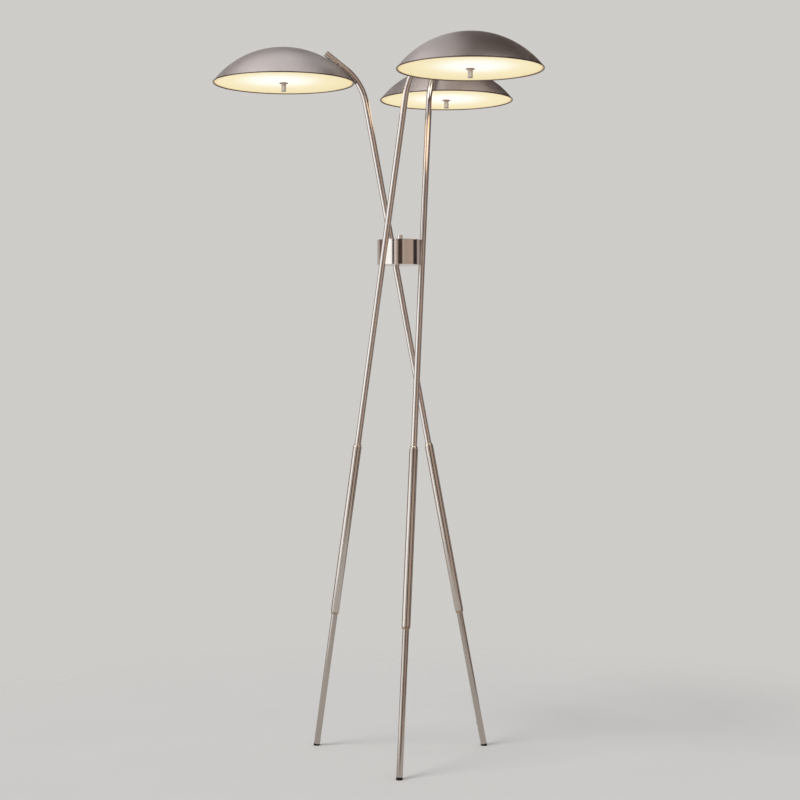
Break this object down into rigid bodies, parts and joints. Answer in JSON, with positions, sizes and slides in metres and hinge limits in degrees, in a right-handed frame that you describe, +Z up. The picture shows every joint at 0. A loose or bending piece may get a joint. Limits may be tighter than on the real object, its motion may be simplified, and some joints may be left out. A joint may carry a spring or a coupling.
{
  "type": "floor lamp",
  "caption": "Floor lamp of leaning bent tubes that cross at a round hub, each with a shallow dome shade and a frosted diffuser.",
  "frame": {"origin": "on the floor, on the upright axis through the hub's middle", "axes": "+Z up; -Y towards foot 1, which is the foot nearest the viewer in the picture; +X to the right"},
  "size_m": [0.8173, 0.8614, 1.7909],
  "materials": {
    "tube_nickel": "polished nickel",
    "leg_nickel": "polished nickel",
    "ring_nickel": "polished nickel",
    "hub_nickel": "turned and nickel plated",
    "finial_nickel": "polished nickel",
    "dome_nickel": "satin nickel",
    "frosted_diffuser": "frosted, lit",
    "bronze_trim": "dark bronze",
    "foot_plastic": "moulded",
    "zinc_steel": "zinc plated",
    "holder_plastic": "moulded",
    "bulb_plastic": "frosted",
    "wire_silicone": "silicone sleeve"
  },
  "bodies": {
    "stand": {"foot_pad_1": "foot_plastic", "lower_leg_1": "leg_nickel", "sleeve_1": "leg_nickel", "arm_tube_1": "tube_nickel", "end_cap_1": "tube_nickel", "shade_saddle_1": "tube_nickel", "dome_1": "dome_nickel", "strap_1": "zinc_steel", "lampholders_1": "holder_plastic", "bulbs_1": "bulb_plastic", "centre_rod_1": "zinc_steel", "diffuser_1": "frosted_diffuser", "washer_1": "bronze_trim", "foot_pad_2": "foot_plastic", "lower_leg_2": "leg_nickel", "sleeve_2": "leg_nickel", "arm_tube_2": "tube_nickel", "end_cap_2": "tube_nickel", "shade_saddle_2": "tube_nickel", "dome_2": "dome_nickel", "strap_2": "zinc_steel", "lampholders_2": "holder_plastic", "bulbs_2": "bulb_plastic", "centre_rod_2": "zinc_steel", "diffuser_2": "frosted_diffuser", "washer_2": "bronze_trim", "foot_pad_3": "foot_plastic", "lower_leg_3": "leg_nickel", "sleeve_3": "leg_nickel", "arm_tube_3": "tube_nickel", "end_cap_3": "tube_nickel", "shade_saddle_3": "tube_nickel", "dome_3": "dome_nickel", "strap_3": "zinc_steel", "lampholders_3": "holder_plastic", "bulbs_3": "bulb_plastic", "centre_rod_3": "zinc_steel", "diffuser_3": "frosted_diffuser", "washer_3": "bronze_trim", "sleeve_rings": "ring_nickel", "leg_couplers": "zinc_steel", "shade_nipples": "zinc_steel", "shade_nuts": "zinc_steel", "rod_locknuts": "zinc_steel", "hub_drum": "hub_nickel", "hub_base": "hub_nickel", "hub_base_screws": "zinc_steel", "hub_clamp_screws": "zinc_steel", "switch_body": "holder_plastic", "switch_nut": "finial_nickel", "terminal_block": "holder_plastic", "cord_grommet": "foot_plastic", "lamp_wires": "wire_silicone"},
    "knob": {"switch_knob": "finial_nickel", "switch_shaft": "zinc_steel"},
    "finial_1": {"finial_1": "finial_nickel"},
    "finial_2": {"finial_2": "finial_nickel"},
    "finial_3": {"finial_3": "finial_nickel"}
  },
  "joints": [
    {"name": "switch_turn", "type": "hinge", "parent": "stand", "child": "knob", "pos_m": [0, 0, 1.31175], "axis": [0, 0, -1], "range_deg": [0, 270]},
    {"name": "finial_1_turn", "type": "hinge", "parent": "stand", "child": "finial_1", "pos_m": [0.12231, 0.26632, 1.70294], "axis": [0, 0, 1], "continuous": true},
    {"name": "finial_2_turn", "type": "hinge", "parent": "stand", "child": "finial_2", "pos_m": [-0.2918, -0.02724, 1.70294], "axis": [0, 0, 1], "continuous": true},
    {"name": "finial_3_turn", "type": "hinge", "parent": "stand", "child": "finial_3", "pos_m": [0.16949, -0.23909, 1.70294], "axis": [0, 0, 1], "continuous": true}
  ]
}
